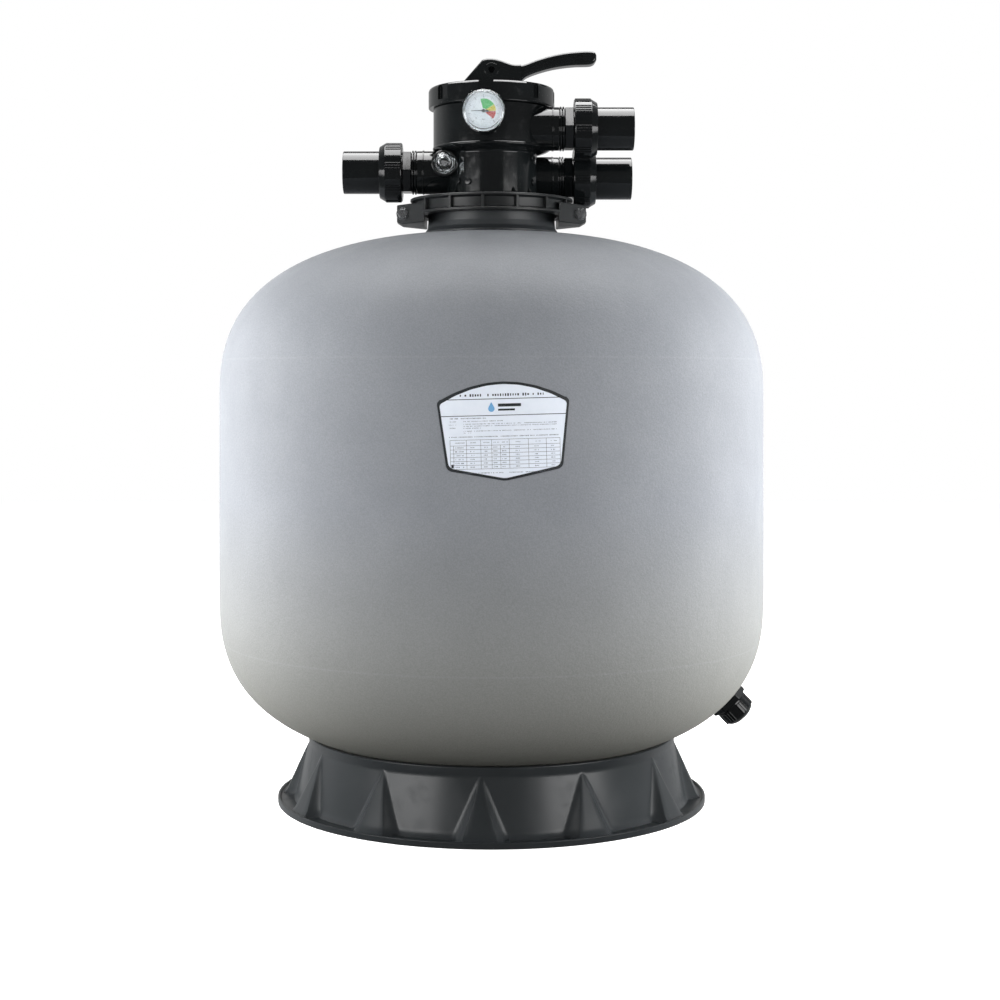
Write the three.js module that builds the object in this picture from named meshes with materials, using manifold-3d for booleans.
// Top-mount sand filter tank for a pool: a moulded tank on a wedge-ribbed stand, with a
// six-way multiport valve clamped to its neck, three pipe unions, a pressure gauge, a sight
// glass, a sand drain, and the pipework and laterals inside.
//
// Millimetres, +Z up. The origin is on the floor, under the centre of the tank. The front of
// the tank, with its label and gauge, faces -Y, and the supply and return pipes leave to +X.

import * as THREE from 'three';
import { mergeVertices } from 'three/addons/utils/BufferGeometryUtils.js';
import Module from 'manifold-3d';

// ---------------------------------------------------------------- driving dimensions

const GAP = 0.3; // clearance between two pieces that touch
const RUNNING_GAP = 0.9; // clearance around a piece that turns or slides

// Tank: a straight barrel between a rounded heel and a rounded shoulder.
const TANK_RADIUS = 355;
const TANK_WALL = 8;
const TANK_BOTTOM_Z = 58;
const HEEL_DEPTH = 212.5;
const HEEL_POWER = 2.64;
const BARREL_HEIGHT = 255.5;
const SHOULDER_HEIGHT = 215.5;
const SHOULDER_POWER = 2.54;

// Stand: a flange on the floor, a hollow skirt and a row of wedge-shaped buttresses.
const STAND_FLANGE_RADIUS = 280;
const STAND_FLANGE_THICKNESS = 5;
const STAND_LIP_HEIGHT = 3;
const STAND_FOOT_RADIUS = 256;
const STAND_RIM_RADIUS = 239;
const STAND_RIM_BAND = 11;
const STAND_WALL = 5;
const STAND_SEAT_WIDTH = 12;
const WEDGE_COUNT = 12;
const WEDGE_FIRST_ANGLE = -3;
const WEDGE_NOSE_RADIUS = 272;
const WEDGE_NOSE_WIDTH = 12;
const WEDGE_FOOT_WIDTH = 96;

// Label in a shallow moulded recess on the barrel.
const LABEL_WIDTH = 150;
const LABEL_HEIGHT = 112;
const LABEL_THICKNESS = 0.6;
const LABEL_RECESS = 1.1;
const LABEL_CENTRE_X = 14;
const LABEL_CENTRE_Z = 490;
const LABEL_TILT = 1.5;

// Neck collar, and the flange that the clamp holds.
const NECK_BORE = 68;
const NECK_INSERT_WALL = 7.7;
const NECK_INSERT_DEPTH = 18;
const COLLAR_WALL = 15.5;
const COLLAR_RADIUS = NECK_BORE + COLLAR_WALL;
const COLLAR_FLARE = 4;
const COLLAR_HEIGHT = 35.2;
const FLANGE_LEDGE = 14.5;
const FLANGE_RADIUS = COLLAR_RADIUS + FLANGE_LEDGE;
const FLANGE_THICKNESS = 6.5;
const SEAL_SECTION = 1.8;
const NECK_SEAL_RADIUS = (NECK_BORE + FLANGE_RADIUS) / 2 - SEAL_SECTION;

// Clamp: two half rings with a recessed outer web, ribs, and ears that take the bolts.
const CLAMP_WALL = 9;
const CLAMP_RADIUS = FLANGE_RADIUS + CLAMP_WALL;
const CLAMP_CHANNEL = 4;
const CLAMP_WEB_RADIUS = CLAMP_RADIUS - CLAMP_CHANNEL;
const CLAMP_LIP = 4;
const CLAMP_NECK_ROOM = 5;
const CLAMP_LIP_RADIUS = COLLAR_RADIUS + CLAMP_NECK_ROOM;
const CLAMP_SPLIT = 1.2;
const CLAMP_RIB_COUNT = 10;
const CLAMP_RIB_WIDTH = 3;
const EAR_LENGTH = 17;
const EAR_REACH = CLAMP_RADIUS + EAR_LENGTH;
const EAR_HALF_DEPTH = 14;
const EAR_DROP = 12;
const EAR_HEIGHT = 26;
const BOLT_RADIUS = 4;
const BOLT_HEAD_RADIUS = 7.4;
const BOLT_EDGE = 0.6;
const BOLT_OFFSET = EAR_REACH - BOLT_HEAD_RADIUS - BOLT_EDGE;
const BOLT_HEAD_HEIGHT = 5.3;

// Pipe that the sockets take, which sets the ports, the unions and the height of the valve.
const PIPE_RADIUS = 25;

// Valve body.
const LOWER_BODY_RADIUS = 60;
const LOWER_BODY_MARGIN = 25;
const LOWER_BODY_HEIGHT = 2 * PIPE_RADIUS + LOWER_BODY_MARGIN;
const UPPER_BODY_RADIUS = 76.6;
const UPPER_BODY_MARGIN = 5;
const UPPER_BODY_HEIGHT = 2 * PIPE_RADIUS + UPPER_BODY_MARGIN;
const CHAMBER_RADIUS = 68;
const CHAMBER_FLOOR = 10;
const SPIGOT_LENGTH = 44;
const SPIGOT_WALL = 6;
const ANNULUS_TOP = 22;
const FLOOR_HOLE_RADIUS = 9;
const FLOOR_HOLE_CIRCLE = 44;

// Ports: the height of each axis above the valve's flange, its offset and its reach.
const PORT_WALL = 3.2;
const PORT_RADIUS = PIPE_RADIUS + PORT_WALL;
const PORT_BORE = PIPE_RADIUS - 3;
const PORT_BORE_STEP = 4;
const PORT_MOUTH_DEPTH = 16;
const PORT_INNER_END = PIPE_RADIUS + 6;
const WASTE_HEIGHT = PIPE_RADIUS + 22;
const RETURN_HEIGHT = PIPE_RADIUS + 17;
const PUMP_HEIGHT = LOWER_BODY_HEIGHT + PIPE_RADIUS + 0.5;
const PUMP_OFFSET = -PIPE_RADIUS - 5;
const RETURN_OFFSET = PIPE_RADIUS;
const PUMP_REACH = FLANGE_RADIUS - 10;
const RETURN_REACH = FLANGE_RADIUS - 9;
const WASTE_PORT = { name: 'waste', height: WASTE_HEIGHT, offset: 0, reach: FLANGE_RADIUS, turn: Math.PI };
const PUMP_PORT = { name: 'pump', height: PUMP_HEIGHT, offset: PUMP_OFFSET, reach: PUMP_REACH, turn: 0 };
const RETURN_PORT = {
  name: 'return', height: RETURN_HEIGHT, offset: RETURN_OFFSET, reach: RETURN_REACH, turn: 0,
};
const PORTS = [WASTE_PORT, PUMP_PORT, RETURN_PORT];

// Union on each port.
const SOCKET_CLEARANCE = 0.1;
const SOCKET_WALL = 2.9;
const SOCKET_DEPTH = 45;
const UNION_BORE = PIPE_RADIUS - 7;
const UNION_RING_LENGTH = 7;
const UNION_HEX_LENGTH = 12;
const UNION_HEX_RADIUS = PIPE_RADIUS + 4.5;
const UNION_THREAD_LENGTH = 15;
const UNION_THREAD_RADIUS = PIPE_RADIUS + 6.2;
const UNION_FLANGE_LENGTH = 5;
const UNION_LENGTH = 97;
const NUT_RADIUS = UNION_THREAD_RADIUS + 8.3;
const NUT_LENGTH = 30;
const NUT_CHAMFER = 8;
const NUT_GROOVE_COUNT = 16;

// Lid, rotor, spring and handle.
const LID_RADIUS = 83;
const LID_HEIGHT = 27;
const LID_EDGE = 4;
const LID_CAVITY_RADIUS = 62;
const LID_PLATE = 15;
const LID_LUG_COUNT = 8;
const LID_FIRST_LUG_ANGLE = -5;
const LID_NOTCH_WIDTH = 19;
const LID_NOTCH_DEPTH = 4.5;
const STEM_RADIUS = 7.5;
const ROTOR_CLEARANCE = 2;
const ROTOR_THICKNESS = 16;
const ROTOR_HUB_RADIUS = 24;
const ROTOR_HUB_HEIGHT = 9;
const GASKET_THICKNESS = 2.2;
const SPRING_RADIUS = 14;
const SPRING_WIRE_RADIUS = 1.5;
const SPRING_TURNS = 4.5;
const THRUST_WASHER_THICKNESS = 2;
const HANDLE_WASHER_RADIUS = 34;
const HANDLE_WASHER_THICKNESS = 2.4;
const CAM_RADIUS = 19.7;
const CAM_OFFSET = 25;
const HANDLE_HUB_WIDTH = 36;
const HANDLE_ARM_WIDTH = 24;
const HANDLE_HUB_LEFT = 41;
const HANDLE_HUB_TOP = 15;
const HANDLE_REACH = 138;
const HANDLE_RISE = 26;
const HANDLE_THICKNESS = 18;
const HANDLE_PIN_RADIUS = 4;
const HANDLE_SLOT_BACK = 1.8;
const HANDLE_SLOT_FRONT = 6;

// Gauge and sight glass.
const GAUGE_X = -10;
const GAUGE_DROP = 16;
const GAUGE_HEIGHT = LOWER_BODY_HEIGHT + UPPER_BODY_HEIGHT - GAUGE_DROP;
const GAUGE_RADIUS = 26.3;
const GAUGE_WALL = 1.8;
const GAUGE_FRONT = 103;
const GAUGE_DEPTH = 19;
const GAUGE_STEM_RADIUS = 7;
const GAUGE_STEM_LENGTH = 16;
const GAUGE_LENS_THICKNESS = 5;
const GAUGE_BUMP_RADIUS = 3.2;
const DIAL_THICKNESS = 1;
const NEEDLE_LENGTH = 15;
const NEEDLE_TAIL = 6;
const SIGHT_X = -61;
const SIGHT_HEIGHT = LOWER_BODY_HEIGHT - 20;
const SIGHT_BOSS_RADIUS = 17.5;
const SIGHT_BOSS_FRONT = PORT_RADIUS + 12.8;
const SIGHT_GLASS_RADIUS = 14;
const SIGHT_GLASS_FRONT_RADIUS = 10;
const SIGHT_GLASS_LENGTH = 14;
const SIGHT_GLASS_WALL = 2;

// Sand drain, square to the heel of the tank.
const DRAIN_AT_RADIUS = 306;
const DRAIN_SPIGOT_RADIUS = 16.6;
const DRAIN_BORE = 12;
const DRAIN_SPIGOT_LENGTH = 24;
const DRAIN_FLANGE_RADIUS = 25;
const DRAIN_SEAT_RELIEF = 2.6;
const DRAIN_GASKET_THICKNESS = 2.5;
const DRAIN_NUT_RADIUS = 26.5;
const DRAIN_NUT_HEIGHT = 10;
const DRAIN_CAP_RADIUS = 22.5;
const DRAIN_CAP_END = 11;
const DRAIN_WASHER_THICKNESS = 2.3;
const DRAIN_THREAD_DEPTH = 2;
const STRAINER_LENGTH = 30;

// Pipework and laterals inside the tank.
const STANDPIPE_WALL = 2.4;
const HUB_RADIUS = 42;
const HUB_HEIGHT = 42;
const HUB_FLOOR_CLEARANCE = 38;
const LATERAL_COUNT = 8;
const LATERAL_RADIUS = 11;
const LATERAL_WALL = 2;
const LATERAL_TIP_RADIUS = 240;
const LATERAL_SPIGOT_RADIUS = 9;
const LATERAL_SPIGOT_LENGTH = 9;
const DIFFUSER_RADIUS = NECK_BORE - 6;
const DIFFUSER_HEIGHT = 46;
const DIFFUSER_WALL = 3;
const DIFFUSER_SLOT_COUNT = 12;

// Facets around each kind of round piece. All divide by 4, so that each round piece reaches
// its full radius along X and along Y.
const TANK_SIDES = 36;
const STAND_SIDES = WEDGE_COUNT * 6;
const BODY_SIDES = 24;
const PIPE_SIDES = 16;
const SMALL_SIDES = 12;
const TINY_SIDES = 8;

// ---------------------------------------------------------------- heights that follow

const HEEL_LINE_Z = TANK_BOTTOM_Z + HEEL_DEPTH;
const SHOULDER_LINE_Z = HEEL_LINE_Z + BARREL_HEIGHT;
const COLLAR_SEAT_Z = shoulderZ(COLLAR_RADIUS, 0);
const FLANGE_FACE_Z = COLLAR_SEAT_Z + COLLAR_HEIGHT;
const VALVE_Z = FLANGE_FACE_Z + GAP;
const STEP_Z = VALVE_Z + LOWER_BODY_HEIGHT;
const CHAMBER_Z = STEP_Z + CHAMBER_FLOOR;
const BODY_TOP_Z = STEP_Z + UPPER_BODY_HEIGHT;
const LID_Z = BODY_TOP_Z + GAP;
const LID_TOP_Z = LID_Z + LID_HEIGHT;
const CEILING_Z = LID_TOP_Z - LID_PLATE;
const ROTOR_Z = CHAMBER_Z + GAP + GASKET_THICKNESS + GAP;
const ROTOR_TOP_Z = ROTOR_Z + ROTOR_THICKNESS + ROTOR_HUB_HEIGHT;
const HANDLE_WASHER_Z = LID_TOP_Z + GAP;
const PIN_Z = HANDLE_WASHER_Z + HANDLE_WASHER_THICKNESS + GAP + CAM_RADIUS;
const CLAMP_Z = FLANGE_FACE_Z - FLANGE_THICKNESS - GAP - CLAMP_LIP;
const CLAMP_TOP_Z = VALVE_Z + FLANGE_THICKNESS + GAP + CLAMP_LIP;
const EAR_Z = CLAMP_Z - EAR_DROP;
const SPIGOT_END_Z = VALVE_Z - SPIGOT_LENGTH;
const HUB_Z = TANK_BOTTOM_Z + TANK_WALL + HUB_FLOOR_CLEARANCE;

// ---------------------------------------------------------------- finishes

const FINISHES = {
  tank: { color: '#85888d', roughness: 0.55, metalness: 0 },
  stand: { color: '#2b2e30', roughness: 0.4, metalness: 0 },
  valve: { color: '#111415', roughness: 0.2, metalness: 0 },
  steel: { color: '#b9bcbe', roughness: 0.3, metalness: 1 },
  rubber: { color: '#1a1a1a', roughness: 0.8, metalness: 0 },
  inner: { color: '#d9dad6', roughness: 0.5, metalness: 0 },
  clear: { color: '#dfe7ea', roughness: 0.08, metalness: 0 },
  dial: { color: '#f2f3f1', roughness: 0.5, metalness: 0 },
  label: { color: '#dfe6f0', roughness: 0.4, metalness: 0 },
};

// ---------------------------------------------------------------- solids and booleans

const WELD = 1e-4;
const wasm = await Module();
wasm.setup();

/** Six times the volume inside a closed set of triangles, negative when it is inside out. */
function signedVolume(position, triangles) {
  const [a, b, c] = [new THREE.Vector3(), new THREE.Vector3(), new THREE.Vector3()];
  let total = 0;
  for (let t = 0; t < triangles.length; t += 3) {
    a.fromBufferAttribute(position, triangles[t]);
    b.fromBufferAttribute(position, triangles[t + 1]);
    c.fromBufferAttribute(position, triangles[t + 2]);
    total += a.dot(b.cross(c));
  }
  return total;
}

/** Reads a closed geometry as a solid whose faces point outwards. */
function solidOf(geometry) {
  const bare = geometry.clone();
  bare.deleteAttribute('normal');
  bare.deleteAttribute('uv');
  const merged = mergeVertices(bare, WELD);
  const position = merged.getAttribute('position');
  const triangles = [];
  for (let t = 0; t < merged.index.count; t += 3) {
    const corners = [0, 1, 2].map((k) => merged.index.getX(t + k));
    if (new Set(corners).size === 3) {
      triangles.push(...corners);
    }
  }
  if (signedVolume(position, triangles) < 0) {
    triangles.reverse();
  }
  return new wasm.Manifold(new wasm.Mesh({
    numProp: 3,
    vertProperties: Float32Array.from(position.array),
    triVerts: Uint32Array.from(triangles),
  }));
}

/** Turns a solid back into a geometry. */
function geometryOf(solid) {
  const mesh = solid.getMesh();
  const geometry = new THREE.BufferGeometry();
  geometry.setAttribute('position', new THREE.BufferAttribute(Float32Array.from(mesh.vertProperties), 3));
  geometry.setIndex(new THREE.BufferAttribute(Uint32Array.from(mesh.triVerts), 1));
  geometry.computeVertexNormals();
  return geometry;
}

const join = (solids) => solids.reduce((whole, piece) => whole.add(piece));
const cut = (solid, tools) => tools.reduce((rest, tool) => rest.subtract(tool), solid);

/** Revolves a profile of [radius, height] pairs about Z. A ring's profile closes on itself. */
function turned(profile, sides) {
  const points = profile.map(([radius, height]) => new THREE.Vector2(radius, height));
  return new THREE.LatheGeometry(points, sides).rotateX(Math.PI / 2);
}

/** Revolves a closed profile of [radius, distance] pairs about X. */
const turnedX = (profile, sides) => turned(profile, sides).rotateY(Math.PI / 2);

/** Revolves a profile of [radius, distance] pairs about Y, with distance measured to the front. */
const turnedFront = (profile, sides) => turned(profile, sides).rotateX(Math.PI / 2);

/** Closes a profile into a ring. */
const ring = (points) => [...points, points[0]];

/** A rectangular ring section. */
const band = (inner, outer, low, high) => ring([[inner, low], [outer, low], [outer, high], [inner, high]]);

/** A rod's profile, from the axis and back to it. */
const rod = (radius, low, high) => [[0, low], [radius, low], [radius, high], [0, high]];

/** The radius of a faceted bore that clears a round piece as it turns inside it. */
const turnRoom = (radius, sides) => (radius + GAP) / Math.cos(Math.PI / sides);

/** The profile of a ring of round section. */
function roundSection(radius, section, height, steps = 6) {
  const points = [];
  for (let k = 0; k < steps; k += 1) {
    const angle = (2 * Math.PI * k) / steps;
    points.push([radius + section * Math.cos(angle), height + section * Math.sin(angle)]);
  }
  return ring(points);
}

/** Extrudes an outline in plan between two heights. */
function plate(outline, low, high) {
  const shape = outline instanceof THREE.Shape ? outline : new THREE.Shape(toPoints(outline));
  return new THREE.ExtrudeGeometry(shape, { depth: high - low, bevelEnabled: false }).translate(0, 0, low);
}

/** Extrudes an outline in the X-Z plane between two values of Y. */
function sidePlate(outline, front, back, curveSegments = 8) {
  const shape = outline instanceof THREE.Shape ? outline : new THREE.Shape(toPoints(outline));
  const options = { depth: back - front, bevelEnabled: false, curveSegments };
  return new THREE.ExtrudeGeometry(shape, options).rotateX(Math.PI / 2).translate(0, back, 0);
}

/** A box from its two corners. */
function block(low, high) {
  const size = high.map((value, k) => value - low[k]);
  const middle = high.map((value, k) => (value + low[k]) / 2);
  return new THREE.BoxGeometry(...size).translate(...middle);
}

const toPoints = (pairs) => pairs.map(([x, y]) => new THREE.Vector2(x, y));
const degrees = THREE.MathUtils.degToRad;

/** The corners of a regular hexagon. */
const hexagon = (radius) => [0, 1, 2, 3, 4, 5].map((k) => [
  radius * Math.cos((k * Math.PI) / 3),
  radius * Math.sin((k * Math.PI) / 3),
]);

/** A named mesh in one of the finishes. */
function node(name, solid, finish) {
  const mesh = new THREE.Mesh(geometryOf(solid), new THREE.MeshStandardMaterial(FINISHES[finish]));
  mesh.name = name;
  return mesh;
}

/** Groups meshes and places the group. */
function placed(meshes, position, turn = 0) {
  const group = new THREE.Group();
  group.add(...meshes);
  group.position.set(...position);
  group.rotation.z = turn;
  return group;
}

// ---------------------------------------------------------------- tank

/** Height of the shoulder's surface at a radius, moved inwards by inset. */
function shoulderZ(radius, inset) {
  const share = Math.min(1, radius / (TANK_RADIUS - inset));
  const rise = (1 - share ** SHOULDER_POWER) ** (1 / SHOULDER_POWER);
  return SHOULDER_LINE_Z + (SHOULDER_HEIGHT - inset) * rise;
}

/** Height of the heel's surface at a radius, moved inwards by inset. */
function heelZ(radius, inset) {
  const share = Math.min(1, radius / (TANK_RADIUS - inset));
  const drop = (1 - share ** HEEL_POWER) ** (1 / HEEL_POWER);
  return HEEL_LINE_Z - (HEEL_DEPTH - inset) * drop;
}

/** Points along the tank's wall, from the axis at the bottom to a radius at the neck. */
function wallCurve(inset, neckRadius, steps) {
  const reach = TANK_RADIUS - inset;
  const heel = [];
  const shoulder = [];
  for (let k = 0; k <= steps; k += 1) {
    const angle = (Math.PI / 2) * (k / steps);
    const heelRadius = reach * Math.sin(angle) ** (2 / HEEL_POWER);
    heel.push([heelRadius, heelZ(heelRadius, inset)]);
    const shoulderRadius = reach * Math.cos(angle) ** (2 / SHOULDER_POWER);
    if (shoulderRadius > neckRadius) {
      shoulder.push([shoulderRadius, shoulderZ(shoulderRadius, inset)]);
    }
  }
  heel[steps] = [reach, HEEL_LINE_Z];
  return [...heel, ...shoulder, [neckRadius, shoulderZ(neckRadius, inset)]];
}

/** Outline of the label: a round-topped badge whose sides lean in to a shallow point. */
function labelShape(grow) {
  const half = LABEL_WIDTH / 2 + grow;
  const top = LABEL_HEIGHT / 2 + grow;
  const foot = half * 0.86;
  const shape = new THREE.Shape();
  shape.moveTo(-half, top * 0.56);
  shape.quadraticCurveTo(0, top * 1.44, half, top * 0.56);
  shape.lineTo(foot, -top * 0.74);
  shape.lineTo(0, -top);
  shape.lineTo(-foot, -top * 0.74);
  shape.closePath();
  return shape;
}

/** A piece of a shell around the barrel, within the label's outline grown by grow. */
function labelPiece(inner, outer, grow) {
  const outline = sidePlate(labelShape(grow), -TANK_RADIUS - 2 * TANK_WALL, -TANK_RADIUS / 2, 10);
  outline.rotateY(-degrees(LABEL_TILT)).translate(LABEL_CENTRE_X, 0, LABEL_CENTRE_Z);
  const shell = turned(band(inner, outer, HEEL_LINE_Z, SHOULDER_LINE_Z + SHOULDER_HEIGHT / 2), TANK_SIDES);
  return solidOf(outline).intersect(solidOf(shell));
}

function tankShell() {
  const insertRadius = (NECK_BORE + NECK_INSERT_WALL + GAP) / Math.cos(Math.PI / TANK_SIDES);
  const outside = wallCurve(0, insertRadius, 9);
  const inside = wallCurve(TANK_WALL, insertRadius, 6).reverse();
  const shell = solidOf(turned([...outside, ...inside], TANK_SIDES));
  const recess = labelPiece(TANK_RADIUS - LABEL_RECESS, TANK_RADIUS + TANK_WALL, GAP);
  const drainHole = rod(DRAIN_SPIGOT_RADIUS + GAP, -3 * TANK_WALL, TANK_WALL);
  const drainSeat = rod(DRAIN_FLANGE_RADIUS + 2, 4 * DRAIN_INSIDE, DRAIN_INSIDE + GAP);
  const drainCuts = [drainHole, drainSeat].map((profile) => solidOf(atDrain(turned(profile, SMALL_SIDES))));
  return cut(shell, [recess, ...drainCuts]);
}

function ratingLabel() {
  const inner = TANK_RADIUS - LABEL_RECESS + GAP;
  return labelPiece(inner, inner + LABEL_THICKNESS, 0);
}

function neckCollar() {
  const insert = NECK_BORE + NECK_INSERT_WALL;
  const flare = COLLAR_RADIUS + COLLAR_FLARE;
  const seat = (radius) => shoulderZ(radius, -2 * GAP);
  const seatPoints = [0, 1 / 3, 2 / 3, 1].map((share) => {
    const radius = THREE.MathUtils.lerp(insert, flare, share);
    return [radius, seat(radius)];
  });
  const body = turned(ring([
    [NECK_BORE, COLLAR_SEAT_Z - NECK_INSERT_DEPTH],
    [insert, COLLAR_SEAT_Z - NECK_INSERT_DEPTH],
    ...seatPoints,
    [flare, seat(flare) + 2],
    [COLLAR_RADIUS + 0.8, seat(flare) + 6],
    [COLLAR_RADIUS, seat(flare) + 12],
    [COLLAR_RADIUS, FLANGE_FACE_Z - FLANGE_THICKNESS],
    [FLANGE_RADIUS, FLANGE_FACE_Z - FLANGE_THICKNESS],
    [FLANGE_RADIUS, FLANGE_FACE_Z],
    [NECK_BORE, FLANGE_FACE_Z],
  ]), BODY_SIDES);
  const half = SEAL_SECTION + GAP;
  const grooveFloor = FLANGE_FACE_Z - 2 * half;
  const groove = band(NECK_SEAL_RADIUS - half, NECK_SEAL_RADIUS + half, grooveFloor, FLANGE_FACE_Z + 1);
  return cut(solidOf(body), [solidOf(turned(groove, BODY_SIDES))]);
}

/** A round seal lying in a groove under a face. */
function sealUnder(faceZ, radius, section) {
  return solidOf(turned(roundSection(radius, section, faceZ - section - GAP), BODY_SIDES));
}

// ---------------------------------------------------------------- stand

/** How far a wedge stands out, from 0 to 1, at an angle from its middle and a share of its drop. */
function wedgeShare(offset, drop) {
  const nose = (WEDGE_NOSE_WIDTH / 2 / STAND_FOOT_RADIUS) * drop;
  const foot = (WEDGE_FOOT_WIDTH / 2 / STAND_FOOT_RADIUS) * drop;
  const fade = THREE.MathUtils.clamp((Math.abs(offset) - nose) / Math.max(foot - nose, WELD), 0, 1);
  return (1 - fade) ** 1.3;
}

/** Moves the skirt's vertices out to the wedges, which start under the rim band and grow downwards. */
function pushWedges(geometry, bandZ) {
  const position = geometry.getAttribute('position');
  const pitch = (2 * Math.PI) / WEDGE_COUNT;
  for (let k = 0; k < position.count; k += 1) {
    const [x, y, z] = [position.getX(k), position.getY(k), position.getZ(k)];
    const radius = Math.hypot(x, y);
    const drop = (bandZ - z) / (bandZ - STAND_FLANGE_THICKNESS);
    const onSkirt = radius > STAND_RIM_RADIUS - 2 * STAND_WALL && radius < STAND_FOOT_RADIUS + 1;
    if (onSkirt && drop > 0 && drop < 1.01) {
      const angle = Math.atan2(x, -y);
      const offset = angle - Math.round(angle / pitch) * pitch;
      const push = (WEDGE_NOSE_RADIUS - STAND_FOOT_RADIUS) * drop * wedgeShare(offset, drop);
      position.setXY(k, x * (1 + push / radius), y * (1 + push / radius));
    }
  }
  return geometry;
}

function standSkirt() {
  const rimZ = heelZ(STAND_RIM_RADIUS - STAND_WALL, -GAP) - GAP;
  const bandZ = rimZ - STAND_RIM_BAND;
  const seatRadius = STAND_RIM_RADIUS - STAND_WALL - STAND_SEAT_WIDTH;
  const outer = [];
  const inner = [];
  const steps = 3;
  for (let k = 0; k <= steps; k += 1) {
    const radius = THREE.MathUtils.lerp(STAND_FOOT_RADIUS, STAND_RIM_RADIUS, k / steps);
    const z = THREE.MathUtils.lerp(STAND_FLANGE_THICKNESS, bandZ, k / steps);
    outer.push([radius, z]);
    inner.unshift([radius - STAND_WALL, z]);
  }
  const profile = ring([
    [STAND_FOOT_RADIUS - STAND_WALL, 0],
    [STAND_FLANGE_RADIUS, 0],
    [STAND_FLANGE_RADIUS, STAND_FLANGE_THICKNESS + STAND_LIP_HEIGHT],
    [STAND_FLANGE_RADIUS - 3, STAND_FLANGE_THICKNESS + STAND_LIP_HEIGHT],
    [STAND_FLANGE_RADIUS - 4, STAND_FLANGE_THICKNESS],
    ...outer,
    [STAND_RIM_RADIUS, rimZ],
    [seatRadius, heelZ(seatRadius, -GAP) - GAP],
    [seatRadius, bandZ - 4],
    ...inner,
  ]);
  const geometry = pushWedges(turned(profile, STAND_SIDES), bandZ);
  return solidOf(geometry.rotateZ(degrees(WEDGE_FIRST_ANGLE)));
}

// ---------------------------------------------------------------- clamp

/** One half of the clamp, drawn for the front and turned half round for the rear. */
function clampHalf() {
  const web = turned(ring([
    [CLAMP_LIP_RADIUS, CLAMP_Z],
    [CLAMP_RADIUS, CLAMP_Z],
    [CLAMP_RADIUS, CLAMP_Z + CLAMP_LIP],
    [CLAMP_WEB_RADIUS, CLAMP_Z + CLAMP_LIP + 2],
    [CLAMP_WEB_RADIUS, CLAMP_TOP_Z - CLAMP_LIP - 2],
    [CLAMP_RADIUS, CLAMP_TOP_Z - CLAMP_LIP],
    [CLAMP_RADIUS, CLAMP_TOP_Z],
    [CLAMP_LIP_RADIUS, CLAMP_TOP_Z],
    [CLAMP_LIP_RADIUS, CLAMP_TOP_Z - CLAMP_LIP],
    [FLANGE_RADIUS + GAP, CLAMP_TOP_Z - CLAMP_LIP],
    [FLANGE_RADIUS + GAP, CLAMP_Z + CLAMP_LIP],
    [CLAMP_LIP_RADIUS, CLAMP_Z + CLAMP_LIP],
  ]), BODY_SIDES);
  const ribs = [];
  for (let k = 0; k < CLAMP_RIB_COUNT / 2; k += 1) {
    const angle = degrees(180 * ((k + 0.5) / (CLAMP_RIB_COUNT / 2)));
    const rib = block(
      [FLANGE_RADIUS + 2, -CLAMP_RIB_WIDTH / 2, CLAMP_Z + 1],
      [CLAMP_RADIUS - 0.6, CLAMP_RIB_WIDTH / 2, CLAMP_TOP_Z - 1],
    );
    ribs.push(solidOf(rib.rotateZ(-angle)));
  }
  const ears = [-1, 1].map((side) => solidOf(plate([
    [side * CLAMP_LIP_RADIUS, -CLAMP_SPLIT / 2],
    [side * EAR_REACH, -CLAMP_SPLIT / 2],
    [side * EAR_REACH, -EAR_HALF_DEPTH],
    [side * EAR_ROOT_X, -EAR_ROOT_DEPTH],
  ], EAR_Z, EAR_Z + EAR_HEIGHT)));
  const neckRoom = solidOf(turned(rod(CLAMP_LIP_RADIUS, EAR_Z - 1, CLAMP_Z + CLAMP_LIP + 1), BODY_SIDES));
  const flangeRoom = solidOf(turned(rod(FLANGE_RADIUS + GAP, CLAMP_Z + CLAMP_LIP, CLAMP_TOP_Z), BODY_SIDES));
  const shaped = cut(join(ears), [neckRoom, flangeRoom]);
  const half = EAR_REACH + 1;
  const frontHalf = solidOf(block([-half, -half, EAR_Z - 1], [half, -CLAMP_SPLIT / 2, CLAMP_TOP_Z + 1]));
  const holes = [-1, 1].map((side) => solidOf(boltHole().translate(side * BOLT_OFFSET, 0, 0)));
  return cut(join([solidOf(web), ...ribs, shaped]).intersect(frontHalf), holes);
}

const boltHole = () => turnedFront(rod(BOLT_RADIUS + GAP, -2 * EAR_HALF_DEPTH, 6 * EAR_HALF_DEPTH), TINY_SIDES)
  .translate(0, 0, EAR_Z + EAR_HEIGHT / 2);

/** Where the ear's sloping front meets the clamp's ring. */
const EAR_ROOT_X = CLAMP_RADIUS * 0.81;
const EAR_ROOT_DEPTH = CLAMP_RADIUS * 0.58;
const EAR_SLOPE = (EAR_ROOT_DEPTH - EAR_HALF_DEPTH) / (EAR_REACH - EAR_ROOT_X);

/** How far in front of the split a bolt's head sits, on the sloping front of the ear. */
const BOLT_SEAT = EAR_HALF_DEPTH + EAR_SLOPE * (EAR_REACH - BOLT_OFFSET + BOLT_HEAD_RADIUS);

function clampBolt(side) {
  const headLow = BOLT_SEAT + GAP;
  const shank = turnedFront(rod(BOLT_RADIUS, -BOLT_SEAT - 2 * BOLT_HEAD_HEIGHT, headLow + 1), TINY_SIDES);
  const head = plate(hexagon(BOLT_HEAD_RADIUS), headLow, headLow + BOLT_HEAD_HEIGHT).rotateX(Math.PI / 2);
  const place = (piece) => solidOf(piece.translate(side * BOLT_OFFSET, 0, EAR_Z + EAR_HEIGHT / 2));
  return join([shank, head].map(place));
}

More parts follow.
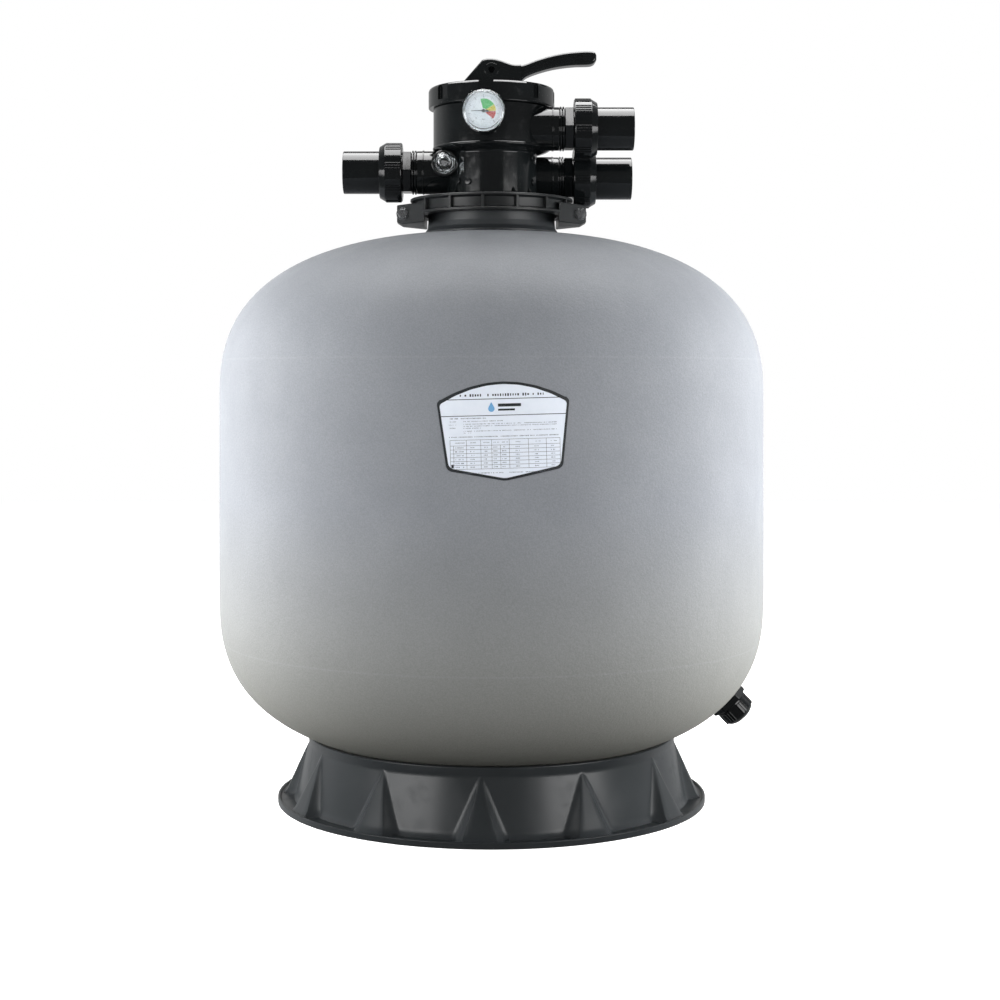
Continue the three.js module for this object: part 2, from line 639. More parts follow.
function clampNut(side) {
  const low = -BOLT_SEAT - GAP - BOLT_HEAD_HEIGHT;
  const body = plate(hexagon(BOLT_HEAD_RADIUS), low, low + BOLT_HEAD_HEIGHT).rotateX(Math.PI / 2);
  const bore = turnedFront(rod(BOLT_RADIUS + GAP, low - 1, low + BOLT_HEAD_HEIGHT + 1), TINY_SIDES);
  const place = (piece) => solidOf(piece.translate(side * BOLT_OFFSET, 0, EAR_Z + EAR_HEIGHT / 2));
  return cut(place(body), [place(bore)]);
}

// ---------------------------------------------------------------- valve body

/** A rod along X at a port, from one distance to another. */
function portRod(port, radius, low, high, sides = PIPE_SIDES) {
  const geometry = turnedX(rod(radius, low, high), sides).rotateZ(port.turn);
  return solidOf(geometry.translate(0, port.offset, VALVE_Z + port.height));
}

/** A rod pointing to the front, from one distance in front of the valve's axis to another. */
function frontRod(x, height, radius, low, high, sides = SMALL_SIDES) {
  return solidOf(turnedFront(rod(radius, low, high), sides).translate(x, 0, VALVE_Z + height));
}

/** A round hole down through the chamber floor. */
function floorHole(x, y, radius, low) {
  return solidOf(turned(rod(radius, low, CHAMBER_Z + 1), SMALL_SIDES).translate(x, y, 0));
}

function valveBody() {
  const spigot = NECK_BORE - GAP;
  const centreBore = PIPE_RADIUS + GAP;
  const centreTube = centreBore + 3.4;
  const annulusZ = VALVE_Z + ANNULUS_TOP;
  const barrel = solidOf(turned([
    [0, annulusZ],
    [centreBore, annulusZ],
    [centreBore, SPIGOT_END_Z],
    [centreTube, SPIGOT_END_Z],
    [centreTube, annulusZ],
    [LOWER_BODY_RADIUS - SPIGOT_WALL, annulusZ],
    [spigot - SPIGOT_WALL, VALVE_Z],
    [spigot - SPIGOT_WALL, SPIGOT_END_Z],
    [spigot, SPIGOT_END_Z],
    [spigot, VALVE_Z],
    [FLANGE_RADIUS, VALVE_Z],
    [FLANGE_RADIUS, VALVE_Z + FLANGE_THICKNESS],
    [LOWER_BODY_RADIUS + 6, VALVE_Z + FLANGE_THICKNESS],
    [LOWER_BODY_RADIUS, VALVE_Z + FLANGE_THICKNESS + 6],
    [LOWER_BODY_RADIUS, STEP_Z - 4],
    [UPPER_BODY_RADIUS - 3, STEP_Z],
    [UPPER_BODY_RADIUS, STEP_Z + 3],
    [UPPER_BODY_RADIUS, BODY_TOP_Z],
    [CHAMBER_RADIUS, BODY_TOP_Z],
    [CHAMBER_RADIUS, CHAMBER_Z],
    [0, CHAMBER_Z],
  ], BODY_SIDES));
  const tubes = PORTS.map((port) => portRod(port, PORT_RADIUS, PORT_INNER_END, port.reach));
  const sightBoss = frontRod(SIGHT_X, SIGHT_HEIGHT, SIGHT_BOSS_RADIUS, 5, SIGHT_BOSS_FRONT);
  const chamber = solidOf(turned(rod(CHAMBER_RADIUS, CHAMBER_Z, BODY_TOP_Z + 1), BODY_SIDES));
  const boreRadius = PORT_BORE - PORT_BORE_STEP;
  const lowPorts = [WASTE_PORT, RETURN_PORT];
  const lowBores = lowPorts.map((port) => portRod(port, boreRadius, PORT_INNER_END + 1, port.reach));
  const mouths = PORTS.map((port) => portRod(port, PORT_BORE, port.reach - PORT_MOUTH_DEPTH, port.reach + 1));
  const pumpBore = portRod(PUMP_PORT, boreRadius, PORT_INNER_END, PUMP_PORT.reach);
  const sealHalf = 1.4 + GAP;
  const sealRadius = (CHAMBER_RADIUS + UPPER_BODY_RADIUS) / 2;
  const sealFloor = BODY_TOP_Z - 2 * sealHalf;
  const sealGroove = band(sealRadius - sealHalf, sealRadius + sealHalf, sealFloor, BODY_TOP_Z + 1);
  return cut(join([barrel, ...tubes, sightBoss]), [
    chamber,
    ...lowBores,
    ...mouths,
    pumpBore,
    floorHole(0, 0, 12, annulusZ - 1),
    floorHole(0, FLOOR_HOLE_CIRCLE, FLOOR_HOLE_RADIUS, annulusZ - 1),
    floorHole(-FLOOR_HOLE_CIRCLE, 0, FLOOR_HOLE_RADIUS, VALVE_Z + WASTE_PORT.height),
    floorHole(FLOOR_HOLE_CIRCLE, RETURN_PORT.offset - 5, FLOOR_HOLE_RADIUS, VALVE_Z + RETURN_PORT.height),
    frontRod(SIGHT_X, SIGHT_HEIGHT, SIGHT_GLASS_RADIUS - 2, 4, SIGHT_BOSS_FRONT + 1),
    frontRod(GAUGE_X, GAUGE_HEIGHT, GAUGE_STEM_RADIUS + GAP, CHAMBER_RADIUS - 8, UPPER_BODY_RADIUS + 8),
    solidOf(turned(sealGroove, BODY_SIDES)),
  ]);
}

// ---------------------------------------------------------------- lid and selector

function valveLid() {
  const bore = STEM_RADIUS + RUNNING_GAP;
  const body = solidOf(turned(ring([
    [bore, CEILING_Z],
    [LID_CAVITY_RADIUS - 8, CEILING_Z],
    [LID_CAVITY_RADIUS, CEILING_Z - 6],
    [LID_CAVITY_RADIUS, LID_Z],
    [LID_RADIUS, LID_Z],
    [LID_RADIUS, LID_TOP_Z - LID_EDGE],
    [LID_RADIUS - LID_EDGE * 0.3, LID_TOP_Z - LID_EDGE * 0.3],
    [LID_RADIUS - LID_EDGE, LID_TOP_Z],
    [bore, LID_TOP_Z],
  ]), BODY_SIDES));
  const notches = [];
  for (let k = 0; k < LID_LUG_COUNT; k += 1) {
    const angle = degrees(LID_FIRST_LUG_ANGLE + (360 * k) / LID_LUG_COUNT);
    const notch = block(
      [-LID_NOTCH_WIDTH / 2, -LID_RADIUS - LID_NOTCH_DEPTH, LID_Z + 6],
      [LID_NOTCH_WIDTH / 2, -LID_RADIUS + LID_NOTCH_DEPTH, LID_TOP_Z + 1],
    );
    notches.push(solidOf(notch.rotateZ(angle)));
  }
  return cut(body, notches);
}

function lidSeal() {
  const radius = (CHAMBER_RADIUS + UPPER_BODY_RADIUS) / 2;
  return sealUnder(BODY_TOP_Z, radius, 1.4);
}

function spiderGasket() {
  const outer = CHAMBER_RADIUS - GAP;
  const plateZ = CHAMBER_Z + GAP;
  const disc = solidOf(turned(band(14, outer, plateZ, plateZ + GASKET_THICKNESS), BODY_SIDES));
  const windows = [];
  for (let k = 0; k < 6; k += 1) {
    const window = plate([[24, -3], [outer - 7, -22], [outer - 7, 22], [24, 3]], plateZ - 1, plateZ + 5);
    windows.push(solidOf(window.rotateZ(degrees(60 * k))));
  }
  return cut(disc, windows);
}

function rotor() {
  const top = ROTOR_Z + ROTOR_THICKNESS;
  const sealZ = LID_TOP_Z - LID_PLATE / 2;
  const body = solidOf(turned([
    [0, ROTOR_Z],
    [CHAMBER_RADIUS - ROTOR_CLEARANCE, ROTOR_Z],
    [CHAMBER_RADIUS - ROTOR_CLEARANCE, top],
    [ROTOR_HUB_RADIUS + 6, top],
    [ROTOR_HUB_RADIUS, ROTOR_TOP_Z],
    [STEM_RADIUS, ROTOR_TOP_Z],
    [STEM_RADIUS, sealZ - 1.6],
    [STEM_RADIUS - 2, sealZ - 1.6],
    [STEM_RADIUS - 2, sealZ + 1.6],
    [STEM_RADIUS, sealZ + 1.6],
    [STEM_RADIUS, PIN_Z + STEM_RADIUS],
    [0, PIN_Z + STEM_RADIUS],
  ], SMALL_SIDES));
  const window = plate([[32, -12], [58, -20], [58, 20], [32, 12]], ROTOR_Z - 1, top + 1).rotateZ(degrees(-150));
  const pinHole = frontAtPin(rod(HANDLE_PIN_RADIUS + GAP, -2 * STEM_RADIUS, 2 * STEM_RADIUS));
  return cut(body, [solidOf(window), pinHole]);
}

const frontAtPin = (profile) => solidOf(turnedFront(profile, TINY_SIDES).translate(0, 0, PIN_Z));

function stemSeal() {
  const section = 1.2;
  const profile = roundSection(STEM_RADIUS - 0.7, section, LID_TOP_Z - LID_PLATE / 2);
  return solidOf(turned(profile, SMALL_SIDES));
}

function thrustWasher() {
  const low = CEILING_Z - GAP - THRUST_WASHER_THICKNESS;
  const outer = SPRING_RADIUS + 2 * SPRING_WIRE_RADIUS + 2;
  const profile = band(STEM_RADIUS + RUNNING_GAP, outer, low, low + THRUST_WASHER_THICKNESS);
  return solidOf(turned(profile, SMALL_SIDES));
}

/** The spring's centre line: a helix between the rotor's hub and the thrust washer. */
class SpringLine extends THREE.Curve {
  getPoint(share) {
    const low = ROTOR_TOP_Z + GAP + SPRING_WIRE_RADIUS;
    const high = CEILING_Z - 2 * GAP - THRUST_WASHER_THICKNESS - SPRING_WIRE_RADIUS;
    const angle = 2 * Math.PI * SPRING_TURNS * share;
    const z = THREE.MathUtils.lerp(low, high, share);
    return new THREE.Vector3(SPRING_RADIUS * Math.cos(angle), SPRING_RADIUS * Math.sin(angle), z);
  }
}

function rotorSpring() {
  const section = new THREE.Shape();
  section.absarc(0, 0, SPRING_WIRE_RADIUS * 0.97, 0, 2 * Math.PI);
  const options = { extrudePath: new SpringLine(), steps: 36, curveSegments: 3, bevelEnabled: false };
  return solidOf(new THREE.ExtrudeGeometry(section, options));
}

function handleWasher() {
  const low = HANDLE_WASHER_Z;
  const profile = band(STEM_RADIUS + RUNNING_GAP, HANDLE_WASHER_RADIUS, low, low + HANDLE_WASHER_THICKNESS);
  return solidOf(turned(profile, SMALL_SIDES));
}

/** Side outline of the handle about its pin: a foot, a cam lobe and a rising arm. */
function handleShape() {
  const tip = HANDLE_REACH;
  const top = HANDLE_RISE;
  const shape = new THREE.Shape();
  shape.moveTo(-HANDLE_HUB_LEFT, -CAM_RADIUS);
  shape.lineTo(CAM_OFFSET, -CAM_RADIUS);
  shape.absarc(CAM_OFFSET, 0, CAM_RADIUS, -Math.PI / 2, degrees(-40), false);
  shape.splineThru(toPoints([
    [tip * 0.43, -3],
    [tip * 0.6, top - HANDLE_THICKNESS - 4],
    [tip * 0.8, top - HANDLE_THICKNESS - 1],
    [tip - 9, top - HANDLE_THICKNESS],
  ]));
  shape.quadraticCurveTo(tip, top - HANDLE_THICKNESS + 1, tip, top - HANDLE_THICKNESS / 2);
  shape.quadraticCurveTo(tip, top - 1, tip - 14, top);
  shape.splineThru(toPoints([
    [tip * 0.7, top - 2],
    [tip * 0.52, top - 8],
    [tip * 0.36, top - 13.5],
    [tip * 0.25, top - 18],
    [tip * 0.15, top - 16],
    [0, HANDLE_HUB_TOP],
    [-12, HANDLE_HUB_TOP - 1.5],
  ]));
  shape.closePath();
  return shape;
}

function handle() {
  const outline = handleShape();
  const arm = sidePlate(outline, -HANDLE_ARM_WIDTH / 2, HANDLE_ARM_WIDTH / 2, 5);
  const hubOnly = block(
    [-HANDLE_HUB_LEFT - 1, -HANDLE_HUB_WIDTH, -CAM_RADIUS - 1],
    [CAM_OFFSET + CAM_RADIUS * 0.6, HANDLE_HUB_WIDTH, HANDLE_HUB_TOP + 1],
  );
  const wide = sidePlate(outline, -HANDLE_HUB_WIDTH / 2, HANDLE_HUB_WIDTH / 2, 5);
  const hub = solidOf(wide).intersect(solidOf(hubOnly));
  const slotHalf = STEM_RADIUS + RUNNING_GAP;
  const slot = block(
    [-slotHalf - HANDLE_SLOT_BACK, -slotHalf, -CAM_RADIUS - 1],
    [slotHalf + HANDLE_SLOT_FRONT, slotHalf, slotHalf + RUNNING_GAP],
  );
  const pinHole = turnedFront(rod(HANDLE_PIN_RADIUS + GAP, -HANDLE_HUB_WIDTH, HANDLE_HUB_WIDTH), TINY_SIDES);
  return cut(join([solidOf(arm), hub]), [solidOf(slot), solidOf(pinHole)]);
}

function handlePin() {
  return solidOf(turnedFront(rod(HANDLE_PIN_RADIUS, -HANDLE_HUB_WIDTH / 2, HANDLE_HUB_WIDTH / 2), TINY_SIDES));
}

/** The valve's selector, about the valve's axis. The handle's own origin is its pin. */
function selector() {
  return [
    node('rotor', rotor(), 'inner'),
    node('stem_o_ring', stemSeal(), 'rubber'),
    node('thrust_washer', thrustWasher(), 'steel'),
    node('rotor_spring', rotorSpring(), 'steel'),
    node('handle_washer', handleWasher(), 'inner'),
    placed([
      node('handle', handle(), 'valve'),
      node('handle_pin', handlePin(), 'steel'),
    ], [0, 0, PIN_Z]),
  ];
}

// ---------------------------------------------------------------- unions

function unionAdapter() {
  const ringEnd = UNION_RING_LENGTH;
  const hexEnd = ringEnd + UNION_HEX_LENGTH;
  const threadEnd = hexEnd + UNION_THREAD_LENGTH;
  const body = solidOf(turnedX(ring([
    [UNION_BORE, -14],
    [PORT_BORE - GAP, -14],
    [PORT_BORE - GAP, GAP],
    [PORT_RADIUS - 2, GAP],
    [PORT_RADIUS - 1, 2],
    [PORT_RADIUS - 3.5, 3.5],
    [PORT_RADIUS - 1, 5],
    [PORT_RADIUS - 3.5, ringEnd],
    [PORT_RADIUS - 3.5, hexEnd],
    [UNION_THREAD_RADIUS, hexEnd + GAP],
    [UNION_THREAD_RADIUS, threadEnd],
    [UNION_BORE, threadEnd],
  ]), PIPE_SIDES));
  const hex = cut(solidOf(plate(hexagon(UNION_HEX_RADIUS), ringEnd, hexEnd - GAP).rotateY(Math.PI / 2)), [
    solidOf(turnedX(rod(UNION_BORE + 1, ringEnd - 1, hexEnd + 1), PIPE_SIDES)),
  ]);
  const sealRadius = PIPE_RADIUS;
  const half = SEAL_SECTION + GAP;
  const groove = band(sealRadius - half, sealRadius + half, threadEnd - 2 * half, threadEnd + 1);
  return cut(join([body, hex]), [solidOf(turnedX(groove, PIPE_SIDES))]);
}

function unionSeal() {
  const face = UNION_RING_LENGTH + UNION_HEX_LENGTH + UNION_THREAD_LENGTH;
  return solidOf(turnedX(roundSection(PIPE_RADIUS, SEAL_SECTION, face - SEAL_SECTION - GAP), PIPE_SIDES));
}

/** Where the tail's flange starts and ends along the union. */
const TAIL_START = UNION_RING_LENGTH + UNION_HEX_LENGTH + UNION_THREAD_LENGTH + GAP;
const TAIL_FLANGE_END = TAIL_START + UNION_FLANGE_LENGTH;

function unionTail() {
  const socket = PIPE_RADIUS + SOCKET_CLEARANCE;
  const outer = socket + SOCKET_WALL;
  return solidOf(turnedX(ring([
    [UNION_BORE, TAIL_START],
    [UNION_THREAD_RADIUS - GAP, TAIL_START],
    [UNION_THREAD_RADIUS - GAP, TAIL_FLANGE_END],
    [outer, TAIL_FLANGE_END],
    [outer, UNION_LENGTH - 1],
    [outer - 1, UNION_LENGTH],
    [socket, UNION_LENGTH],
    [socket, UNION_LENGTH - SOCKET_DEPTH],
    [UNION_BORE, UNION_LENGTH - SOCKET_DEPTH],
  ]), PIPE_SIDES));
}

function unionNut() {
  const start = UNION_RING_LENGTH + UNION_HEX_LENGTH + GAP;
  const end = start + NUT_LENGTH;
  const thread = turnRoom(UNION_THREAD_RADIUS, PIPE_SIDES);
  const lip = turnRoom(PIPE_RADIUS + SOCKET_CLEARANCE + SOCKET_WALL, PIPE_SIDES);
  const lipStart = TAIL_FLANGE_END + GAP;
  const body = solidOf(turnedX(ring([
    [thread, start],
    [NUT_RADIUS - 1.5, start],
    [NUT_RADIUS, start + 1.5],
    [NUT_RADIUS, end - NUT_CHAMFER],
    [NUT_RADIUS - NUT_CHAMFER * 0.6, end],
    [lip, end],
    [lip, lipStart],
    [thread, lipStart],
  ]), PIPE_SIDES));
  const grooves = [];
  for (let k = 0; k < NUT_GROOVE_COUNT; k += 1) {
    const groove = block([start - 1, -2, NUT_RADIUS - 0.9], [end - NUT_CHAMFER, 2, NUT_RADIUS + 2]);
    grooves.push(solidOf(groove.rotateX((2 * Math.PI * k) / NUT_GROOVE_COUNT)));
  }
  return cut(body, grooves);
}

/** The four pieces of one port's union, along +X of the port's own place. */
function portUnion(port) {
  const facing = Math.cos(port.turn);
  return placed([
    node(`${port.name}_union_adapter`, unionAdapter(), 'valve'),
    node(`${port.name}_union_o_ring`, unionSeal(), 'rubber'),
    node(`${port.name}_union_tail`, unionTail(), 'valve'),
    node(`${port.name}_union_nut`, unionNut(), 'valve'),
  ], [facing * port.reach, port.offset, VALVE_Z + port.height], port.turn);
}

// ---------------------------------------------------------------- gauge and sight glass

function gaugeCase() {
  const back = GAUGE_FRONT - GAUGE_DEPTH;
  const inner = GAUGE_RADIUS - GAUGE_WALL;
  return solidOf(turnedFront([
    [0, back - GAUGE_STEM_LENGTH],
    [GAUGE_STEM_RADIUS, back - GAUGE_STEM_LENGTH],
    [GAUGE_STEM_RADIUS, back],
    [GAUGE_RADIUS - 2, back],
    [GAUGE_RADIUS, back + 2],
    [GAUGE_RADIUS, GAUGE_FRONT],
    [inner, GAUGE_FRONT],
    [inner, back + GAUGE_WALL],
    [0, back + GAUGE_WALL],
  ], SMALL_SIDES));
}

const DIAL_FRONT = GAUGE_FRONT - 6;

function gaugeDial() {
  const radius = GAUGE_RADIUS - GAUGE_WALL - GAP;
  return solidOf(turnedFront(band(1.6, radius, DIAL_FRONT - DIAL_THICKNESS, DIAL_FRONT), SMALL_SIDES));
}

/** The needle lies over the dial with its hub's pivot through it, and points left at rest. */
function gaugeNeedle() {
  const low = DIAL_FRONT + 1;
  const blade = sidePlate([
    [-NEEDLE_LENGTH, 0.2],
    [-NEEDLE_LENGTH, -0.2],
    [0, -1.2],
    [NEEDLE_TAIL, -1.6],
    [NEEDLE_TAIL, 1.6],
    [0, 1.2],
  ], -low - 0.8, -low);
  const pivot = turnedFront([
    [0, DIAL_FRONT - 6],
    [1.2, DIAL_FRONT - 6],
    [1.2, low],
    [2.6, low],
    [2.6, low + 1.6],
    [0, low + 1.6],
  ], TINY_SIDES);
  return join([solidOf(blade), solidOf(pivot)]);
}

function gaugeLens() {
  const low = GAUGE_FRONT + GAP;
  const face = low + GAUGE_LENS_THICKNESS;
  const disc = solidOf(turnedFront([
    [0, low],
    [GAUGE_RADIUS + 0.2, low],
    [GAUGE_RADIUS + 0.2, low + 2],
    [GAUGE_RADIUS - 3, face - 1],
    [GAUGE_RADIUS - 5, face],
    [0, face],
  ], SMALL_SIDES));
  const bumps = [45, 135, 225, 315].map((angle) => {
    const bump = turnedFront(rod(GAUGE_BUMP_RADIUS, low, low + 2.4), TINY_SIDES);
    const circle = GAUGE_RADIUS - GAUGE_BUMP_RADIUS / 2;
    bump.translate(circle * Math.cos(degrees(angle)), 0, circle * Math.sin(degrees(angle)));
    return solidOf(bump);
  });
  return join([disc, ...bumps]);
}

function gauge() {
  return placed([
    node('gauge_case', gaugeCase(), 'valve'),
    node('gauge_dial', gaugeDial(), 'dial'),
    node('gauge_needle', gaugeNeedle(), 'valve'),
    node('gauge_lens', gaugeLens(), 'clear'),
  ], [GAUGE_X, 0, VALVE_Z + GAUGE_HEIGHT]);
}

function sightGlass() {
  const low = SIGHT_BOSS_FRONT + GAP;
  const stem = SIGHT_GLASS_RADIUS - 2 - GAP;
  const end = low + SIGHT_GLASS_LENGTH;
  const inner = stem - SIGHT_GLASS_WALL;
  return solidOf(turnedFront([
    [inner, low - 8],
    [stem, low - 8],
    [stem, low],
    [SIGHT_GLASS_RADIUS, low],
    [SIGHT_GLASS_RADIUS, low + 4],
    [SIGHT_GLASS_FRONT_RADIUS + 1, end - 4],
    [SIGHT_GLASS_FRONT_RADIUS - 2, end - 0.5],
    [0, end],
    [0, end - SIGHT_GLASS_WALL],
    [SIGHT_GLASS_FRONT_RADIUS - 3, end - SIGHT_GLASS_WALL - 0.5],
    [inner - 2, low + 4],
    [inner, low - 8],
  ], SMALL_SIDES));
}

function sightSeal() {
  const radius = SIGHT_GLASS_RADIUS + 1.4;
  return solidOf(turnedFront(roundSection(radius, 1, SIGHT_BOSS_FRONT + GAP + 1, 6), SMALL_SIDES));
}

// ---------------------------------------------------------------- drain

/** The heel's slope at the drain, as the angle of its outward normal below the horizontal. */
function drainDrop() {
  const step = 0.5;
  const rise = heelZ(DRAIN_AT_RADIUS + step, 0) - heelZ(DRAIN_AT_RADIUS - step, 0);
  return Math.PI / 2 - Math.atan2(rise, 2 * step);
}

/** Places a piece drawn along +Z so that +Z leaves the tank square to its heel on the +X side. */
function atDrain(geometry) {
  geometry.rotateY(Math.PI / 2 + drainDrop());
  return geometry.translate(DRAIN_AT_RADIUS, 0, heelZ(DRAIN_AT_RADIUS, 0));
}

const DRAIN_INSIDE = -(TANK_WALL + DRAIN_SEAT_RELIEF + GAP);
const DRAIN_NUT_LOW = DRAIN_GASKET_THICKNESS + 2 * GAP;
const DRAIN_CAP_LOW = DRAIN_NUT_LOW + DRAIN_NUT_HEIGHT + GAP;
const DRAIN_CAP_CEILING = DRAIN_SPIGOT_LENGTH + DRAIN_WASHER_THICKNESS + 2 * GAP;

function drainSpigot() {
  return solidOf(atDrain(turned(ring([
    [DRAIN_BORE, DRAIN_INSIDE - 5],
    [DRAIN_FLANGE_RADIUS, DRAIN_INSIDE - 5],
    [DRAIN_FLANGE_RADIUS, DRAIN_INSIDE],
    [DRAIN_SPIGOT_RADIUS, DRAIN_INSIDE],
    [DRAIN_SPIGOT_RADIUS, DRAIN_SPIGOT_LENGTH],
    [DRAIN_BORE, DRAIN_SPIGOT_LENGTH],
  ]), SMALL_SIDES)));
}

function drainGasket() {
  const profile = band(DRAIN_SPIGOT_RADIUS + GAP, DRAIN_FLANGE_RADIUS - 1, GAP, GAP + DRAIN_GASKET_THICKNESS);
  return solidOf(atDrain(turned(profile, SMALL_SIDES)));
}

function drainLockNut() {
  const high = DRAIN_NUT_LOW + DRAIN_NUT_HEIGHT;
  const body = solidOf(atDrain(plate(hexagon(DRAIN_NUT_RADIUS), DRAIN_NUT_LOW, high)));
  return cut(body, [solidOf(atDrain(turned(rod(DRAIN_SPIGOT_RADIUS + GAP, 0, high + 1), SMALL_SIDES)))]);
}

function drainCap() {
  const end = DRAIN_CAP_CEILING + DRAIN_CAP_END;
  const thread = turnRoom(DRAIN_SPIGOT_RADIUS + DRAIN_THREAD_DEPTH, SMALL_SIDES);
  return solidOf(atDrain(turned([
    [0, DRAIN_CAP_CEILING],
    [thread, DRAIN_CAP_CEILING],
    [thread, DRAIN_CAP_LOW],
    [DRAIN_CAP_RADIUS, DRAIN_CAP_LOW],
    [DRAIN_CAP_RADIUS, end - 7],
    [DRAIN_CAP_RADIUS - 3, end - 3],
    [DRAIN_CAP_RADIUS - 9, end],
    [0, end],
  ], SMALL_SIDES)));
}

function drainCapWasher() {
  const low = DRAIN_SPIGOT_LENGTH + GAP;
  const profile = band(DRAIN_BORE, DRAIN_SPIGOT_RADIUS, low, low + DRAIN_WASHER_THICKNESS);
  return solidOf(atDrain(turned(profile, SMALL_SIDES)));
}

/** A slotted cup over the inner end of the drain that keeps the sand in. */
function drainStrainer() {
  const high = DRAIN_INSIDE - 5 - GAP;
  const low = high - STRAINER_LENGTH;
  const outer = DRAIN_SPIGOT_RADIUS - 1;
  const cup = solidOf(atDrain(turned([
    [0, low],
    [outer, low],
    [outer, high],
    [outer - 2, high],
    [outer - 2, low + 2],
    [0, low + 2],
  ], SMALL_SIDES)));
  const slots = [0, 45, 90, 135].map((angle) => {
    const slot = block([-outer - 1, -1, low + 5], [outer + 1, 1, high - 5]).rotateZ(degrees(angle));
    return solidOf(atDrain(slot));
  });
  return cut(cup, slots);
}

// ---------------------------------------------------------------- inside the tank

/** The standpipe stands in the hub's socket and ends inside the valve's centre bore. */
function standpipe() {
  const low = HUB_Z + HUB_HEIGHT / 2 + GAP;
  const high = VALVE_Z + ANNULUS_TOP - 10;
  return solidOf(turned(band(PIPE_RADIUS - STANDPIPE_WALL, PIPE_RADIUS - 0.1, low, high), PIPE_SIDES));
}

function lateralHub() {
  const socket = PIPE_RADIUS + GAP;
  const ledge = HUB_Z + HUB_HEIGHT / 2;
  const body = solidOf(turned([
    [0, HUB_Z],
    [HUB_RADIUS - 8, HUB_Z],
    [HUB_RADIUS, HUB_Z + 8],
    [HUB_RADIUS, ledge + 4],
    [PIPE_RADIUS + 6, HUB_Z + HUB_HEIGHT],
    [socket, HUB_Z + HUB_HEIGHT],
    [socket, ledge],
    [PIPE_RADIUS - STANDPIPE_WALL, ledge],
    [PIPE_RADIUS - STANDPIPE_WALL, HUB_Z + 4],
    [0, HUB_Z + 4],
  ], PIPE_SIDES));
  const sockets = lateralAngles().map((angle) => {
    const bore = turnedX(rod(LATERAL_SPIGOT_RADIUS + GAP, HUB_RADIUS - 24, HUB_RADIUS + 1), TINY_SIDES);
    return solidOf(bore.rotateZ(angle).translate(0, 0, lateralZ()));
  });
  return cut(body, sockets);
}

const lateralZ = () => HUB_Z + 14;
const lateralPlaces = Array.from({ length: LATERAL_COUNT }, (_, k) => k + 0.5);
const lateralAngles = () => lateralPlaces.map((place) => degrees((360 * place) / LATERAL_COUNT));

/** A closed-ended collector tube with a spigot for the hub, along +X. */
function lateral() {
  const low = HUB_RADIUS + GAP;
  return solidOf(turnedX([
    [LATERAL_SPIGOT_RADIUS - LATERAL_WALL, low - LATERAL_SPIGOT_LENGTH],
    [LATERAL_SPIGOT_RADIUS, low - LATERAL_SPIGOT_LENGTH],
    [LATERAL_SPIGOT_RADIUS, low],
    [LATERAL_RADIUS, low],
    [LATERAL_RADIUS, LATERAL_TIP_RADIUS - 3],
    [LATERAL_RADIUS - 3, LATERAL_TIP_RADIUS],
    [0, LATERAL_TIP_RADIUS],
    [0, LATERAL_TIP_RADIUS - LATERAL_WALL],
    [LATERAL_SPIGOT_RADIUS - LATERAL_WALL, LATERAL_TIP_RADIUS - LATERAL_WALL],
    [LATERAL_SPIGOT_RADIUS - LATERAL_WALL, low - LATERAL_SPIGOT_LENGTH],
  ], TINY_SIDES));
}

function laterals() {
  return lateralAngles().map((angle, k) => {
    const mesh = node(`lateral_${k + 1}`, lateral(), 'inner');
    return placed([mesh], [0, 0, lateralZ()], angle);
  });
}

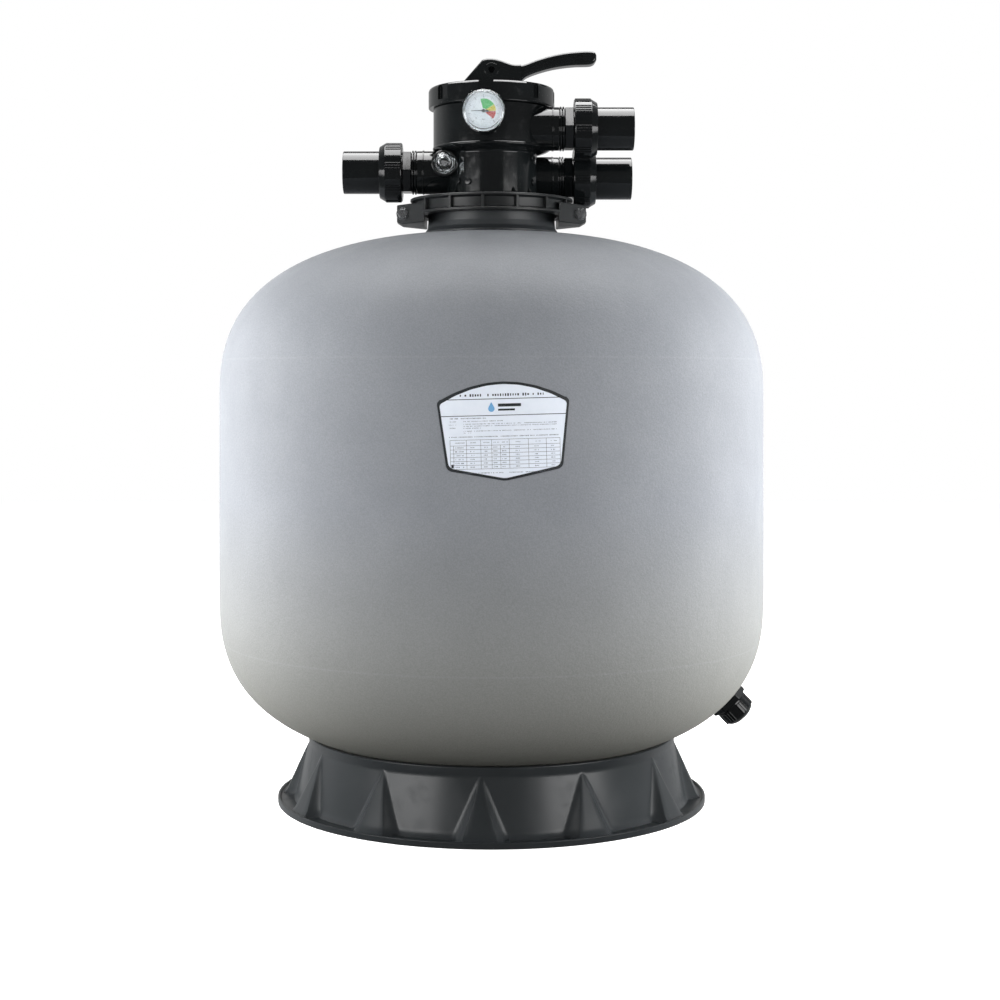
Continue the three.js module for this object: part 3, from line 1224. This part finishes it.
/** A slotted basket that hangs from the valve and spreads the water over the sand. */
function topDiffuser() {
  const high = SPIGOT_END_Z - GAP;
  const low = high - DIFFUSER_HEIGHT;
  const inner = PIPE_RADIUS + 3;
  const body = solidOf(turned(ring([
    [inner, low],
    [DIFFUSER_RADIUS, low],
    [DIFFUSER_RADIUS, high],
    [DIFFUSER_RADIUS - DIFFUSER_WALL, high],
    [DIFFUSER_RADIUS - DIFFUSER_WALL, low + DIFFUSER_WALL],
    [inner, low + DIFFUSER_WALL],
  ]), BODY_SIDES));
  const slots = [];
  for (let k = 0; k < DIFFUSER_SLOT_COUNT; k += 1) {
    const slot = block([DIFFUSER_RADIUS - 8, -5, low + 9], [DIFFUSER_RADIUS + 2, 5, high - 9]);
    slots.push(solidOf(slot.rotateZ(degrees((360 * (k + 0.5)) / DIFFUSER_SLOT_COUNT))));
  }
  return cut(body, slots);
}

// ---------------------------------------------------------------- assembly

const clampRear = node('clamp_half_rear', clampHalf(), 'valve');
clampRear.rotation.z = Math.PI;

const filter = new THREE.Group();
filter.add(
  node('tank_shell', tankShell(), 'tank'),
  node('rating_label', ratingLabel(), 'label'),
  node('stand_skirt', standSkirt(), 'stand'),
  node('neck_collar', neckCollar(), 'stand'),
  node('neck_o_ring', sealUnder(FLANGE_FACE_Z, NECK_SEAL_RADIUS, SEAL_SECTION), 'rubber'),
  node('clamp_half_front', clampHalf(), 'valve'),
  clampRear,
  node('clamp_bolt_left', clampBolt(-1), 'steel'),
  node('clamp_bolt_right', clampBolt(1), 'steel'),
  node('clamp_nut_left', clampNut(-1), 'steel'),
  node('clamp_nut_right', clampNut(1), 'steel'),
  node('valve_body', valveBody(), 'valve'),
  node('valve_lid', valveLid(), 'valve'),
  node('lid_o_ring', lidSeal(), 'rubber'),
  node('spider_gasket', spiderGasket(), 'rubber'),
  ...selector(),
  ...PORTS.map(portUnion),
  gauge(),
  placed([
    node('sight_glass', sightGlass(), 'clear'),
    node('sight_glass_o_ring', sightSeal(), 'rubber'),
  ], [SIGHT_X, 0, VALVE_Z + SIGHT_HEIGHT]),
  node('drain_spigot', drainSpigot(), 'valve'),
  node('drain_gasket', drainGasket(), 'rubber'),
  node('drain_lock_nut', drainLockNut(), 'valve'),
  node('drain_strainer', drainStrainer(), 'inner'),
  node('drain_cap_washer', drainCapWasher(), 'rubber'),
  node('drain_cap', drainCap(), 'valve'),
  node('standpipe', standpipe(), 'inner'),
  node('lateral_hub', lateralHub(), 'inner'),
  ...laterals(),
  node('top_diffuser', topDiffuser(), 'inner'),
);

export default filter;
